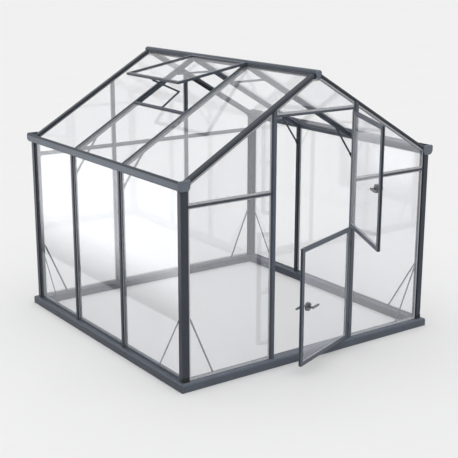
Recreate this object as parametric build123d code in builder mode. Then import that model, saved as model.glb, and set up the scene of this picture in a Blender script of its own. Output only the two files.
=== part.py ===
"""Glass greenhouse with a two-leaf stable door and a roof vent. Millimetres, +Z up.

The origin is the middle of the front base sill's underside, and the doorway faces -Y.
Depths into a wall are measured inward from the outer faces of the corner posts, and
depths into the roof at right angles from the outer roof plane.
"""
import os
from math import cos, radians, sin, tan

from build123d import *

# House
width = 2236.0              # across the outer faces of the corner posts
length = 2236.0             # front to back across the same faces
gable_pitch = 730.0         # between the two inner posts of a gable
front_bay = 818.0           # front face to the first bar of a side wall
wall_pitch = 714.0          # between the two bars of a side wall
wall_height = 1373.0        # ground to the underside of the gutter
eave_rise = 33.0            # outer roof plane above that, over the outer face of the posts
roof_pitch_deg = 30.6
rail_drop = 104.0           # gutter's underside down to the gable rails
split_height = 925.0        # ground to the joint between the two door leaves
overrun = 100.0             # how far a cut runs past what it cuts

# Base sills
sill_height = 60.0
sill_width = 88.0
sill_overhang = 25.0        # beyond the outer faces of the posts
sill_wall = 2.5
sill_round = 15.0

# Glazing
glass = 4.0
glass_inset = 14.0          # outer post face to outer glass face
glass_gap = 2.0             # round the edge of a pane
seal = 1.0                  # between a pane and the lip in front of it
lip = 4.0
seat = 4.0
bedding = 0.1               # under the roof panes

# Corner posts: a tube with a lip and a seat for the pane on either side
post_tube = 50.0
post_round = 16.0
post_seat = 20.0
gable_lip = 6.0
wall_lip = 16.0
tube_wall = 2.5
lip_setback = 4.0           # lips of the lighter members are that much shorter than the seats

# Verge rafters: a wide shallow tube, a lip and a seat for the roof pane, a seat for the gable pane
verge_width = 52.0
verge_rise = 20.0
verge_round = 16.0
verge_lip = 14.0
verge_roof_seat = 18.0
verge_seat = 22.0
verge_end = 34.0            # middle line to the upper end of the verge tubes

# Glazing bars of walls and roof
bar_web = 6.0
bar_seat = 26.0
bar_stem = 12.0
bar_wall = 2.0
bolt_slot = 4.4
wall_cap = 28.0
wall_cap_bevel = 3.5
wall_stem_depth = 22.0
roof_cap = 20.0
roof_cap_top = 5.0          # below the outer roof plane
roof_cap_bevel = 2.0
roof_stem_depth = 26.0

# Door posts, gable rails and header
door_post = 26.0
door_post_depth = 28.0
door_flange = 14.0
rail_front = 3.0
rail_lip = 12.0
rail_web = 4.0
rail_seat = 16.0
rail_stem = 10.0
rail_stem_depth = 12.0
header_gap = 2.0            # between the header and the rafters

# Gutters, closed by caps that also cover the heads of the corner posts
gutter_reach = 26.0         # beyond the outer faces of the posts
gutter_height = 70.0
gutter_wall = 3.0
gutter_round = 24.0
gutter_top_round = 15.0
gutter_lip = 12.0           # how far the outer edge curls back in
gutter_clearance = 2.0      # under the roof edge
eave_plate = 6.0
eave_slot = 8.0
eave_web = 3.0
drip_setback = 2.0          # roof edge behind the outer faces of the posts
end_cap = 8.0
end_cap_margin = 2.0
end_cap_cover = 66.0        # how far a gutter's cap reaches over the gable
end_cap_round = 32.0
end_cap_bevel = 3.0

# Ridge
ridge_width = 52.0
ridge_edge = 8.0
ridge_cap = 15.0
ridge_web = 10.0
ridge_web_depth = 44.0
ridge_wall = 2.5
ridge_end_depth = 65.0
ridge_end_tip = 22.0
ridge_end_round = 6.0

# Roof vent
vent_drop_deg = 9.8         # the open leaf below the horizontal
vent_length = 609.0
vent_width = 728.0
vent_forward = 23.0         # its middle in front of the middle of the bay
vent_bar = 22.0
vent_depth = 18.0
vent_groove = 8.0
vent_play = 0.2             # between the leaf and the ridge and bars
vent_sill_place = 551.0     # middle line to the sill of the opening
vent_sill_width = 24.0
vent_sill_lip = 7.0
vent_sill_depth = 18.0
stay_lower = 180.0          # foot pivot to elbow
stay_lower_deg = 35.0       # lower link above the horizontal
stay_pivot = 8.0            # pivots in front of the faces they stand on
stay_base = 3.0
stay_base_width = 24.0
stay_base_height = 20.0
stay_bar = 14.0
stay_thick = 4.0
stay_pin = 3.5
stay_foot_depth = 16.0      # foot pivot under the outer roof plane

# Flat bracing bars
brace_thick = 3.0
brace_width = 16.0
knee_drop = 148.0           # gutter's underside down to the lower end of a knee brace
knee_run = 227.0            # outer post face to its upper end
tie_rise = 26.0             # tie's top below the outer roof plane at its ends
tie_reach = 186.0
corner_brace_width = 13.0
corner_brace_height = 500.0
corner_brace_lap = 7.0      # upper end, back from the edge of the post's seat
gable_brace_foot = 260.0    # from the outer face of the wall
wall_brace_foot = 350.0

# Door leaves
leaf_gap = 6.0              # round each leaf
leaf_joint = 16.0           # between the two leaves
leaf_bar = 28.0
leaf_depth = 20.0
leaf_groove = 10.0
leaf_edge_groove = 8.0
leaf_glass_depth = 8.0
lower_open_deg = 20.5
upper_open_deg = 63.7

# Hinges
hinge_forward = 8.0         # axis in front of the door posts
knuckle_radius = 5.0
knuckle_height = 28.0
pin_radius = 3.0
pin_play = 0.05
knuckle_play = 0.5
hinge_plate = 4.0
hinge_plate_reach = 26.0
hinge_from_end = 110.0

# Handles
handle_drop = 12.0          # below the middle of the leaf
rose_radius = 30.0
rose_gap = 40.0             # from the stile to the rose
rose_hole_play = 4.0
spindle_radius = 6.0
spindle_play = 0.05
hub_radius = 11.0
hub_play = 0.3
hub_length = 6.0
lever_standoff = 24.0
lever_thick = 10.0
lever_width = 17.0
lever_tip_width = 13.0
lever_tip_bevel = 3.0
outer_lever = 85.0
lever_edge_gap = 1.0        # inner lever's tip inside the leaf's free edge

# Places that follow from the sizes above
pitch = radians(roof_pitch_deg)
half = width / 2
roof_apex = wall_height + eave_rise + half * tan(pitch)
front = sill_overhang - sill_width / 2
back = front + length
middle = (front + back) / 2
seat_front = glass_inset + glass
seat_back = seat_front + seat
lip_back = glass_inset - seal
lip_front = lip_back - lip
post_depth = post_tube + post_seat
verge_depth = verge_rise + verge_seat
eave_depth = seat_front + eave_plate
plate_x = half - eave_depth
drip_x = half - drip_setback
far = half + gutter_reach + overrun
gable_x = gable_pitch / 2
rail_height = wall_height - rail_drop
bar_ys = (front + front_bay, front + front_bay + wall_pitch)
bay_middle = front + front_bay + wall_pitch / 2
vent_middle = bay_middle - vent_forward
slope_left = Vector(-cos(pitch), 0, -sin(pitch))
slope_right = Vector(cos(pitch), 0, -sin(pitch))
inward_left = Vector(sin(pitch), 0, -cos(pitch))
inward_right = Vector(-sin(pitch), 0, -cos(pitch))
rafter_run = (half + overrun) / cos(pitch)


def roof_z(x, depth):
    """Height of a plane lying depth under the outer roof plane, x from the middle line."""
    return roof_apex - abs(x) * tan(pitch) - depth / cos(pitch)


door_half = gable_x - door_post / 2
header_height = roof_z(door_half, verge_depth) - rail_seat - header_gap
leaf_half = door_half - leaf_gap
leaf_bottom = sill_height + leaf_gap
leaf_top = header_height - rail_lip - leaf_gap
lower_top = split_height - leaf_joint / 2
upper_bottom = split_height + leaf_joint / 2
hinge_x = door_half - leaf_gap / 2
hinge_y = front - hinge_forward
handle_x = leaf_bar - leaf_half + rose_radius + rose_gap
inner_lever = handle_x + leaf_half - lever_edge_gap
gutter_back_top = roof_z(drip_x, seat_front) - gutter_clearance
wall_glass_top = wall_height + eave_slot - glass_gap


def block(x0, x1, y0, y1, z0, z1, mode=Mode.ADD):
    """A box between two corners."""
    with Locations(((x0 + x1) / 2, (y0 + y1) / 2, (z0 + z1) / 2)):
        Box(x1 - x0, y1 - y0, z1 - z0, mode=mode)


def patch(x0, x1, y0, y1, mode=Mode.ADD):
    """A rectangle between two corners of a sketch."""
    with Locations(((x0 + x1) / 2, (y0 + y1) / 2)):
        Rectangle(abs(x1 - x0), abs(y1 - y0), mode=mode)


def corner_tube(across, down, rounding):
    """Hollow tube with one rounded outer corner, at the origin of the sketch."""
    with BuildLine() as edge:
        Line((0, rounding), (0, down))
        Line((0, down), (across, down))
        Line((across, down), (across, 0))
        Line((across, 0), (rounding, 0))
        RadiusArc((rounding, 0), (0, rounding), rounding)
    make_face(edge.edges())
    offset(amount=-tube_wall, mode=Mode.SUBTRACT)


def post_section():
    """Corner post: x runs along the gable and y along the side wall."""
    corner_tube(post_tube, post_tube, post_round)
    patch(post_tube, post_tube + gable_lip, lip_front, lip_back)
    patch(post_tube, post_depth, seat_front, seat_back)
    patch(lip_front, lip_back, post_tube, post_tube + wall_lip)
    patch(seat_front, seat_back, post_tube, post_depth)


def verge_section():
    """Verge rafter: x runs into the house and y down from the roof plane."""
    corner_tube(verge_width, verge_rise, verge_round)
    patch(verge_width, verge_width + verge_lip, lip_front, lip_back)
    patch(verge_width, verge_width + verge_roof_seat, seat_front, seat_back)
    patch(seat_front, seat_back, verge_rise, verge_depth)


def bar_section(cap, cap_front, bevel, stem_depth):
    """Glazing bar: cap, web, seat and a stem with a bolt channel open to the inside."""
    end = seat_back + stem_depth
    side = [
        (cap / 2, cap_front), (cap / 2, lip_back), (bar_web / 2, lip_back),
        (bar_web / 2, seat_front), (bar_seat / 2, seat_front), (bar_seat / 2, seat_back),
        (bar_stem / 2, seat_back), (bar_stem / 2, end),
    ]
    Polygon(*side, *[(-x, y) for x, y in reversed(side)], align=None)
    chamfer(vertices().group_by(Axis.Y)[0], bevel)
    channel = bar_stem / 2 - bar_wall
    patch(-channel, channel, seat_back + bar_wall, end - bar_wall, mode=Mode.SUBTRACT)
    patch(-bolt_slot / 2, bolt_slot / 2, end - bar_wall, end, mode=Mode.SUBTRACT)


def gable_rail(lip_ends, seat_ends, height, face_y, inward):
    """Rail with a lip in front of the pane below, a web, and a seat with a stem behind the panes."""
    for (x0, x1), behind in ((lip_ends, False), (seat_ends, True)):
        start = x0 if inward > 0 else x1
        place = Plane((start, face_y, height), x_dir=(0, inward, 0), z_dir=(inward, 0, 0))
        with BuildSketch(place) as outline:
            if behind:
                patch(seat_front, seat_back, -rail_seat, rail_seat)
                patch(seat_back, seat_back + rail_stem_depth, -rail_stem / 2, rail_stem / 2)
            else:
                patch(rail_front, lip_back, -rail_lip, 0)
                patch(lip_back, seat_front, -rail_web, 0)
        extrude(outline.sketch, amount=x1 - x0)


def under_roof(depth):
    """Everything above a plane lying depth under the outer roof planes."""
    Polygon(
        (-far, roof_z(far, depth)), (0, roof_z(0, depth)), (far, roof_z(far, depth)),
        (far, roof_apex + overrun), (-far, roof_apex + overrun), align=None,
    )


def trim_under_verges():
    """Cut the current part under the verge rafters and clear of their seats."""
    with BuildSketch(Plane.XZ) as outline:
        under_roof(verge_rise)
    extrude(outline.sketch, amount=length + overrun, both=True, mode=Mode.SUBTRACT)
    for face_y, out in ((front, 1), (back, -1)):
        with BuildSketch(Plane.XZ.offset(-(face_y + out * seat_front))) as outline:
            under_roof(verge_depth)
        extrude(outline.sketch, amount=out * (seat_front - seat_back), mode=Mode.SUBTRACT)


def run_down(section, side, turn):
    """Run a section down one slope, from a plumb cut against the ridge web."""
    bar = extrude(section.sketch, amount=turn * rafter_run, mode=Mode.PRIVATE)
    keep = Keep.TOP if side > 0 else Keep.BOTTOM
    cut = ridge_web / 2 if side > 0 else -ridge_web / 2
    add(split(bar, bisect_by=Plane.YZ.offset(cut), keep=keep, mode=Mode.PRIVATE))


def trim_slopes():
    """Cut sloping members over the wall bars and eave plates and along the drip edge."""
    with BuildSketch(Plane.XZ) as outline:
        patch(-far, far, 0, wall_height)
        for side in (-1, 1):
            Polygon(
                (side * plate_x, roof_z(plate_x, seat_front)), (side * far, roof_z(far, seat_front)),
                (side * far, 0), (side * plate_x, 0), align=None,
            )
            patch(side * drip_x, side * far, 0, roof_apex)
    extrude(outline.sketch, amount=length + overrun, both=True, mode=Mode.SUBTRACT)


# Base sills
def sill(along, face, run):
    """Hollow sill with a rounded outer edge, mitred at both ends."""
    inward = Vector(0, 0, 1).cross(along)
    start = face - inward * sill_overhang
    reach = run / 2 + sill_overhang
    with BuildSketch(Plane(start, x_dir=inward, z_dir=along)) as outline:
        with BuildLine() as edge:
            Line((0, 0), (sill_width, 0))
            Line((sill_width, 0), (sill_width, sill_height))
            Line((sill_width, sill_height), (sill_round, sill_height))
            RadiusArc((sill_round, sill_height), (0, sill_height - sill_round), -sill_round)
            Line((0, sill_height - sill_round), (0, 0))
        make_face(edge.edges())
        offset(amount=-sill_wall, mode=Mode.SUBTRACT)
    extrude(outline.sketch, amount=reach, both=True)
    split(bisect_by=Plane(start + along * reach, z_dir=along + inward), keep=Keep.BOTTOM)
    split(bisect_by=Plane(start - along * reach, z_dir=inward - along), keep=Keep.BOTTOM)


with BuildPart() as base_sill_front:
    sill(Vector(1, 0, 0), Vector(0, front, 0), width)

with BuildPart() as base_sill_back:
    sill(Vector(-1, 0, 0), Vector(0, back, 0), width)

with BuildPart() as base_sill_left:
    sill(Vector(0, -1, 0), Vector(-half, middle, 0), length)

with BuildPart() as base_sill_right:
    sill(Vector(0, 1, 0), Vector(half, middle, 0), length)


# Corner posts
def corner_post(side, face_y, turn):
    """Post standing on the sills, notched under the gutter and cut along the rafter."""
    place = Plane((side * half, face_y, sill_height), x_dir=(-side, 0, 0), z_dir=(0, 0, turn))
    with BuildSketch(place) as outline:
        post_section()
    extrude(outline.sketch, amount=turn * (roof_z(half - post_depth, verge_rise) - sill_height))
    trim_under_verges()
    outer, inner = side * far, side * plate_x
    block(min(outer, inner), max(outer, inner), -length, back + length,
          wall_height, roof_apex, mode=Mode.SUBTRACT)


with BuildPart() as corner_post_front_left:
    corner_post(-1, front, 1)

with BuildPart() as corner_post_front_right:
    corner_post(1, front, -1)

with BuildPart() as corner_post_back_right:
    corner_post(1, back, 1)

with BuildPart() as corner_post_back_left:
    corner_post(-1, back, -1)


# Bars of the side walls
with BuildPart() as wall_bars:
    for bar_y in bar_ys:
        for side in (-1, 1):
            with BuildSketch(Plane((side * half, bar_y, sill_height), x_dir=(0, side, 0), z_dir=(0, 0, 1))):
                bar_section(wall_cap, 0, wall_cap_bevel, wall_stem_depth)
            extrude(amount=wall_height - sill_height)

# Posts of the back gable
with BuildPart() as back_gable_posts:
    for side in (-1, 1):
        with BuildSketch(Plane((side * gable_x, back, sill_height), x_dir=(-1, 0, 0), z_dir=(0, 0, 1))):
            bar_section(wall_cap, 0, wall_cap_bevel, wall_stem_depth)
        extrude(amount=roof_apex - sill_height)
    trim_under_verges()


# Door posts
def door_post_piece(side):
    """Tube with a lip and seat for the pane beside the door."""
    place = Plane((side * gable_x, front, sill_height), x_dir=(1, 0, 0), z_dir=(0, 0, 1))
    with BuildSketch(place) as outline:
        patch(-door_post / 2, door_post / 2, 0, door_post_depth)
        patch(tube_wall - door_post / 2, door_post / 2 - tube_wall, tube_wall, door_post_depth - tube_wall,
              mode=Mode.SUBTRACT)
        edge = side * door_post / 2
        patch(edge, edge + side * (door_flange - lip_setback), lip_front, lip_back)
        patch(edge, edge + side * door_flange, seat_front, seat_back)
    extrude(outline.sketch, amount=roof_apex - sill_height)


with BuildPart() as door_posts:
    for side in (-1, 1):
        door_post_piece(side)
    trim_under_verges()

with BuildPart() as door_header:
    door_span = (-door_half, door_half)
    gable_rail(door_span, door_span, header_height, front, 1)


def ordered(x0, x1):
    """Two places in rising order."""
    return min(x0, x1), max(x0, x1)


with BuildPart() as gable_rails:
    lip_end = half - post_tube - gable_lip
    seat_end = half - post_depth
    door_edge = gable_x + door_post / 2 + door_flange
    for side in (-1, 1):
        gable_rail(ordered(side * (door_edge - lip_setback), side * lip_end),
                   ordered(side * door_edge, side * seat_end), rail_height, front, 1)
        gable_rail(ordered(side * (gable_x + wall_cap / 2), side * lip_end),
                   ordered(side * (gable_x + bar_seat / 2), side * seat_end), rail_height, back, -1)
    gable_rail((wall_cap / 2 - gable_x, gable_x - wall_cap / 2),
               (bar_seat / 2 - gable_x, gable_x - bar_seat / 2), rail_height, back, -1)


# Gutters
def gutter_outline():
    """Outside of the gutter: x outward from the post face, y up from its underside."""
    with BuildLine() as edge:
        Line((-glass_inset, 0), (gutter_reach - gutter_round, 0))
        RadiusArc((gutter_reach - gutter_round, 0), (gutter_reach, gutter_round), -gutter_round)
        Line((gutter_reach, gutter_round), (gutter_reach, gutter_height - gutter_top_round))
        RadiusArc((gutter_reach, gutter_height - gutter_top_round),
                  (gutter_reach - gutter_top_round, gutter_height), -gutter_top_round)
        Line((gutter_reach - gutter_top_round, gutter_height), (-glass_inset, gutter_height))
        Line((-glass_inset, gutter_height), (-glass_inset, 0))
    make_face(edge.edges())


def gutter(side):
    """Open channel with a curled lip, a slot for the wall panes and a plate for the roof."""
    face_y = front if side > 0 else back
    place = Plane((side * half, face_y, wall_height), x_dir=(side, 0, 0), z_dir=(0, -side, 0))
    with BuildSketch(place) as outline:
        gutter_outline()
        offset(amount=-gutter_wall, mode=Mode.SUBTRACT)
        patch(-glass_inset - overrun, gutter_reach - gutter_lip, gutter_back_top - wall_height,
              gutter_height + overrun, mode=Mode.SUBTRACT)
        Polygon(
            (-seat_front, 0), (-seat_front, roof_z(half - seat_front, seat_front) - wall_height),
            (-eave_depth, roof_z(plate_x, seat_front) - wall_height), (-eave_depth, 0), align=None,
        )
        patch(-seat_front, -glass_inset, eave_slot, eave_slot + eave_web)
    extrude(outline.sketch, amount=-length)


with BuildPart() as left_gutter:
    gutter(-1)

with BuildPart() as right_gutter:
    gutter(1)


# Ridge
def ridge_under(x):
    """Height of the roof bars' caps, on which the ridge lies."""
    return roof_z(x, roof_cap_top)


ridge_half = ridge_width / 2
ridge_top = ridge_under(0) + ridge_cap
ridge_side = ridge_under(ridge_half) + ridge_edge
ridge_foot = ridge_top - ridge_cap - ridge_web_depth

with BuildPart() as ridge_bar:
    with BuildSketch(Plane((0, front, 0), x_dir=(1, 0, 0), z_dir=(0, -1, 0))):
        with BuildLine():
            ThreePointArc((-ridge_half, ridge_side), (0, ridge_top), (ridge_half, ridge_side))
            Polyline(
                (ridge_half, ridge_side), (ridge_half, ridge_under(ridge_half)),
                (ridge_web / 2, ridge_under(ridge_web / 2)), (ridge_web / 2, ridge_foot),
                (-ridge_web / 2, ridge_foot), (-ridge_web / 2, ridge_under(ridge_web / 2)),
                (-ridge_half, ridge_under(ridge_half)), (-ridge_half, ridge_side),
            )
        make_face()
        patch(ridge_wall - ridge_web / 2, ridge_web / 2 - ridge_wall, ridge_foot,
              ridge_under(ridge_web / 2), mode=Mode.SUBTRACT)
    extrude(amount=-length)

with BuildPart() as end_caps:
    for face_y, out in ((front, 1), (back, -1)):
        with BuildSketch(Plane((0, face_y, 0), x_dir=(out, 0, 0), z_dir=(0, -out, 0))) as ridge_end:
            with BuildLine():
                ThreePointArc((-ridge_half, ridge_side), (0, ridge_top), (ridge_half, ridge_side))
                Polyline((ridge_half, ridge_side), (ridge_end_tip / 2, ridge_top - ridge_end_depth),
                         (-ridge_end_tip / 2, ridge_top - ridge_end_depth), (-ridge_half, ridge_side))
            make_face()
            fillet(ridge_end.vertices().group_by(Axis.Y)[0], ridge_end_round)
        extrude(amount=end_cap)
        for side in (-1, 1):
            place = Plane((side * half, face_y, wall_height), x_dir=(side, 0, 0), z_dir=(0, -side, 0))
            cap_outer = gutter_reach + end_cap_margin
            with BuildSketch(place) as gutter_end:
                patch(-end_cap_cover, cap_outer, -end_cap_margin, gutter_height + end_cap_margin)
                fillet(gutter_end.vertices().group_by(Axis.Y)[0], end_cap_round)
                fillet(gutter_end.vertices().sort_by(Axis.X)[-1], gutter_top_round)
            extrude(amount=side * out * end_cap)
    outer_faces = faces().filter_by(Axis.Y).group_by(Axis.Y)
    chamfer(outer_faces[0].edges() + outer_faces[-1].edges(), end_cap_bevel)

# Verge rafters
with BuildPart() as verge_rafters:
    for face_y, into, along, turn in ((front, 1, slope_left, 1), (front, 1, slope_right, -1),
                                      (back, -1, slope_left, -1), (back, -1, slope_right, 1)):
        place = Plane((0, face_y, roof_apex), x_dir=(0, into, 0), z_dir=along * turn)
        with BuildSketch(place, mode=Mode.PRIVATE) as section:
            verge_section()
        run_down(section, along.X, turn)
    trim_slopes()
    with BuildSketch(Plane.XZ):
        Polygon(
            (-verge_end, roof_z(verge_end, lip_back)), (0, roof_z(0, lip_back)),
            (verge_end, roof_z(verge_end, lip_back)), (verge_end, roof_apex + overrun),
            (-verge_end, roof_apex + overrun), align=None,
        )
    extrude(amount=length + overrun, both=True, mode=Mode.SUBTRACT)

# Roof bars
with BuildPart() as roof_bars:
    for bar_y in bar_ys:
        for across, along in ((Vector(0, 1, 0), slope_left), (Vector(0, -1, 0), slope_right)):
            place = Plane((0, bar_y, roof_apex), x_dir=across, z_dir=along)
            with BuildSketch(place, mode=Mode.PRIVATE) as section:
                bar_section(roof_cap, roof_cap_top, roof_cap_bevel, roof_stem_depth)
            run_down(section, along.X, 1)
    trim_slopes()

# Sill of the vent opening, across the middle bay of the left slope
vent_sill_at = vent_sill_place / cos(pitch)
sill_span = wall_pitch - bar_seat
sill_plane = Plane((0, bay_middle, roof_apex), x_dir=inward_left, z_dir=(0, 1, 0))

with BuildPart() as vent_sill:
    with BuildSketch(sill_plane):
        patch(seat_front, seat_back, vent_sill_at, vent_sill_at + vent_sill_width)
        patch(vent_sill_lip, seat_front, vent_sill_at, vent_sill_at + bar_web)
        patch(vent_sill_lip, lip_back, vent_sill_at, vent_sill_at + vent_sill_width - lip_setback)
        patch(seat_back, seat_back + vent_sill_depth, vent_sill_at, vent_sill_at + seat)
    extrude(amount=sill_span / 2, both=True)

# Vent leaf, held open
vent_drop = radians(vent_drop_deg)
vent_x = ridge_half + vent_play + vent_depth / 2 * sin(vent_drop)
vent_half = vent_width / 2
vent_plane = Plane(
    (-vent_x, vent_middle, ridge_under(ridge_half) + vent_play + vent_depth / 2 * cos(vent_drop)),
    x_dir=(-cos(vent_drop), 0, -sin(vent_drop)), z_dir=(-sin(vent_drop), 0, cos(vent_drop)),
)

with BuildPart() as vent_frame:
    with BuildSketch(vent_plane):
        patch(0, vent_length, -vent_half, vent_half)
        patch(vent_bar, vent_length - vent_bar, vent_bar - vent_half, vent_half - vent_bar,
              mode=Mode.SUBTRACT)
    extrude(amount=vent_depth / 2, both=True)
    groove_edge = vent_bar - vent_groove
    with BuildSketch(vent_plane.offset(-glass / 2)):
        patch(groove_edge, vent_length - groove_edge, groove_edge - vent_half, vent_half - groove_edge)
    extrude(amount=glass + seal, mode=Mode.SUBTRACT)

with BuildPart() as vent_glass:
    pane_edge = vent_bar - vent_groove + glass_gap
    with BuildSketch(vent_plane.offset(-glass / 2)):
        patch(pane_edge, vent_length - pane_edge, pane_edge - vent_half, vent_half - pane_edge)
    extrude(amount=glass)


# Stay of the vent: two flat links pinned at the elbow, and a lug at each end
def link(start, end, y0, y1, bar, rounded):
    """Flat link between two points of the plane across the house, with round or square ends."""
    run = Vector(end[0] - start[0], 0, end[1] - start[1])
    with BuildSketch(Plane((start[0], y0, start[1]), x_dir=run, z_dir=(0, 1, 0))) as outline:
        with Locations((run.length / 2, 0)):
            if rounded:
                SlotCenterToCenter(run.length, bar)
            else:
                Rectangle(run.length + bar, bar)
    extrude(outline.sketch, amount=y1 - y0)


stay_plane = sill_plane.offset(-vent_forward)
foot = stay_plane.from_local_coords(Vector(stay_foot_depth, vent_sill_at - stay_pivot, 0))
elbow = foot + Vector(stay_lower * cos(radians(stay_lower_deg)), 0, stay_lower * sin(radians(stay_lower_deg)))
head = vent_plane.from_local_coords(Vector(vent_length - vent_bar / 2, 0, -vent_depth / 2 - stay_pivot))

with BuildPart() as vent_stay:
    link((foot.X, foot.Z), (elbow.X, elbow.Z), vent_middle - stay_thick, vent_middle, stay_bar, True)
    link((elbow.X, elbow.Z), (head.X, head.Z), vent_middle, vent_middle + stay_thick, stay_bar, True)
    for point in (foot, elbow, head):
        with BuildSketch(Plane(point, x_dir=(1, 0, 0), z_dir=(0, 1, 0))):
            Circle(stay_pin)
        extrude(amount=2 * stay_thick, both=True)
    with BuildSketch(stay_plane):
        patch(stay_foot_depth - stay_base_height / 2, stay_foot_depth + stay_base_height / 2,
              vent_sill_at - stay_base, vent_sill_at)
    extrude(amount=stay_base_width / 2, both=True)
    with BuildSketch(vent_plane.offset(-vent_depth / 2 - stay_base)):
        patch(vent_length - vent_bar, vent_length, -stay_base_width / 2, stay_base_width / 2)
    extrude(amount=stay_base)

# Collar ties, lapped on the stems of each pair of roof bars
tie_top = roof_z(tie_reach, tie_rise)
with BuildPart() as collar_ties:
    for bar_y, turn in zip(bar_ys, (1, -1)):
        near = bar_y + turn * bar_stem / 2
        beyond = near + turn * brace_thick
        block(-tie_reach, tie_reach, min(near, beyond), max(near, beyond), tie_top - brace_width, tie_top)

# Knee braces, lapped on the stems of the wall bars and roof bars
knee_foot_x = half - seat_back - wall_stem_depth / 2
knee_foot_z = wall_height - knee_drop
knee_head_x = half - knee_run
knee_head_z = roof_z(knee_head_x, seat_back + roof_stem_depth / 2)

with BuildPart() as knee_braces:
    for bar_y, turn in zip(bar_ys, (1, -1)):
        near = bar_y + turn * bar_stem / 2
        beyond = near + turn * brace_thick
        for side in (-1, 1):
            link((side * knee_foot_x, knee_foot_z), (side * knee_head_x, knee_head_z),
                 min(near, beyond), max(near, beyond), brace_width, False)


# Corner braces, from the seats of the posts down to the sills
def corner_brace(corner, along, inward, foot_at):
    """Flat bar behind one pane beside a corner, cut flat on the sill."""
    facing = along.cross(Vector(0, 0, 1))
    reach = post_depth - corner_brace_lap
    foot_half = corner_brace_width / 2
    with BuildSketch(Plane(Vector(*corner) + inward * seat_back, x_dir=along, z_dir=facing)) as outline:
        Polygon((reach, corner_brace_height), (reach + corner_brace_width, corner_brace_height),
                (foot_at + foot_half, sill_height), (foot_at - foot_half, sill_height), align=None)
    extrude(outline.sketch, amount=brace_thick * facing.dot(inward))


with BuildPart() as corner_braces:
    for side in (-1, 1):
        for face_y, out in ((front, 1), (back, -1)):
            corner_brace((side * half, face_y, 0), Vector(-side, 0, 0), Vector(0, out, 0), gable_brace_foot)
            corner_brace((side * half, face_y, 0), Vector(0, out, 0), Vector(-side, 0, 0), wall_brace_foot)

# Panes of the side walls
wall_spans = (
    (front + post_tube + glass_gap, bar_ys[0] - bar_web / 2 - glass_gap),
    (bar_ys[0] + bar_web / 2 + glass_gap, bar_ys[1] - bar_web / 2 - glass_gap),
    (bar_ys[1] + bar_web / 2 + glass_gap, back - post_tube - glass_gap),
)

with BuildPart() as left_wall_glass:
    for y0, y1 in wall_spans:
        block(glass_inset - half, seat_front - half, y0, y1, sill_height, wall_glass_top)

with BuildPart() as right_wall_glass:
    for y0, y1 in wall_spans:
        block(half - seat_front, half - glass_inset, y0, y1, sill_height, wall_glass_top)


# Panes of the gables
def gable_pane(corners, face_y, out):
    """Pane with the given corners, behind the outer face of a gable."""
    with BuildSketch(Plane((0, face_y + out * glass_inset, 0), x_dir=(1, 0, 0), z_dir=(0, -1, 0))) as outline:
        Polygon(*corners, align=None)
    extrude(outline.sketch, amount=-out * glass)


def under_slope(x):
    """Upper edge of the gable panes."""
    return roof_z(x, verge_rise + glass_gap)


def gable_top(reach, base, face_y, out):
    """Middle pane under the roof, cut level under the ridge."""
    top = ridge_foot - glass_gap
    tip = (under_slope(0) - top) / tan(pitch)
    gable_pane([(-reach, base), (reach, base), (reach, under_slope(reach)), (tip, top),
                (-tip, top), (-reach, under_slope(reach))], face_y, out)


low_top = rail_height - rail_web - glass_gap
outer_x = half - post_tube - glass_gap


def side_panes(inner_x, face_y, out):
    """The four panes between the corner posts and the inner posts of a gable."""
    for side in (-1, 1):
        gable_pane([(side * outer_x, sill_height), (side * inner_x, sill_height),
                    (side * inner_x, low_top), (side * outer_x, low_top)], face_y, out)
        gable_pane([(side * outer_x, rail_height), (side * inner_x, rail_height),
                    (side * inner_x, under_slope(inner_x)),
                    (side * outer_x, under_slope(outer_x))], face_y, out)


with BuildPart() as front_gable_glass:
    side_panes(gable_x + door_post / 2 + glass_gap, front, 1)
    gable_top(door_half - glass_gap, header_height, front, 1)

with BuildPart() as back_gable_glass:
    side_panes(gable_x + bar_web / 2 + glass_gap, back, -1)
    mid_x = gable_x - bar_web / 2 - glass_gap
    gable_pane([(-mid_x, sill_height), (mid_x, sill_height), (mid_x, low_top), (-mid_x, low_top)], back, -1)
    gable_top(mid_x, rail_height, back, -1)


# Panes of the roof
def roof_pane(side, x0, x1, y0, y1):
    """Pane between two distances from the middle line, bedded on the seats of the bars."""
    across = inward_right if side > 0 else inward_left
    rise = sin(pitch)
    with BuildSketch(Plane((0, (y0 + y1) / 2, roof_apex), x_dir=across, z_dir=(0, -side, 0))) as outline:
        patch(glass_inset - bedding, seat_front - bedding,
              (x0 + seat_front * rise) / cos(pitch), (x1 + glass_inset * rise) / cos(pitch))
    extrude(outline.sketch, amount=(y1 - y0) / 2, both=True)


roof_spans = (
    (front + verge_width + glass_gap, wall_spans[0][1]), wall_spans[1],
    (wall_spans[2][0], back - verge_width - glass_gap),
)
roof_top_x = ridge_web / 2 + glass_gap
vent_pane_x = (vent_sill_at + bar_web + glass_gap) * cos(pitch) - seat_front * sin(pitch)

with BuildPart() as left_roof_glass:
    for span, top in zip(roof_spans, (roof_top_x, vent_pane_x, roof_top_x)):
        roof_pane(-1, top, drip_x, *span)

with BuildPart() as right_roof_glass:
    for span in roof_spans:
        roof_pane(1, roof_top_x, drip_x, *span)


# Door leaves: each plane is given on the closed leaf and carried round by the hinge
def on_leaf(open_deg, origin, x_dir, z_dir):
    """A plane of the closed leaf, turned about the hinge axis."""
    axis = Vector(hinge_x, hinge_y, 0)
    place = (Vector(*origin) - axis).rotate(Axis.Z, open_deg) + axis
    across = Vector(*x_dir).rotate(Axis.Z, open_deg)
    return Plane(place, x_dir=across, z_dir=Vector(*z_dir).rotate(Axis.Z, open_deg))


def plan_of_leaf(open_deg, x, y, z):
    """Level plane of a leaf."""
    return on_leaf(open_deg, (x, y, z), (1, 0, 0), (0, 0, 1))


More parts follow.
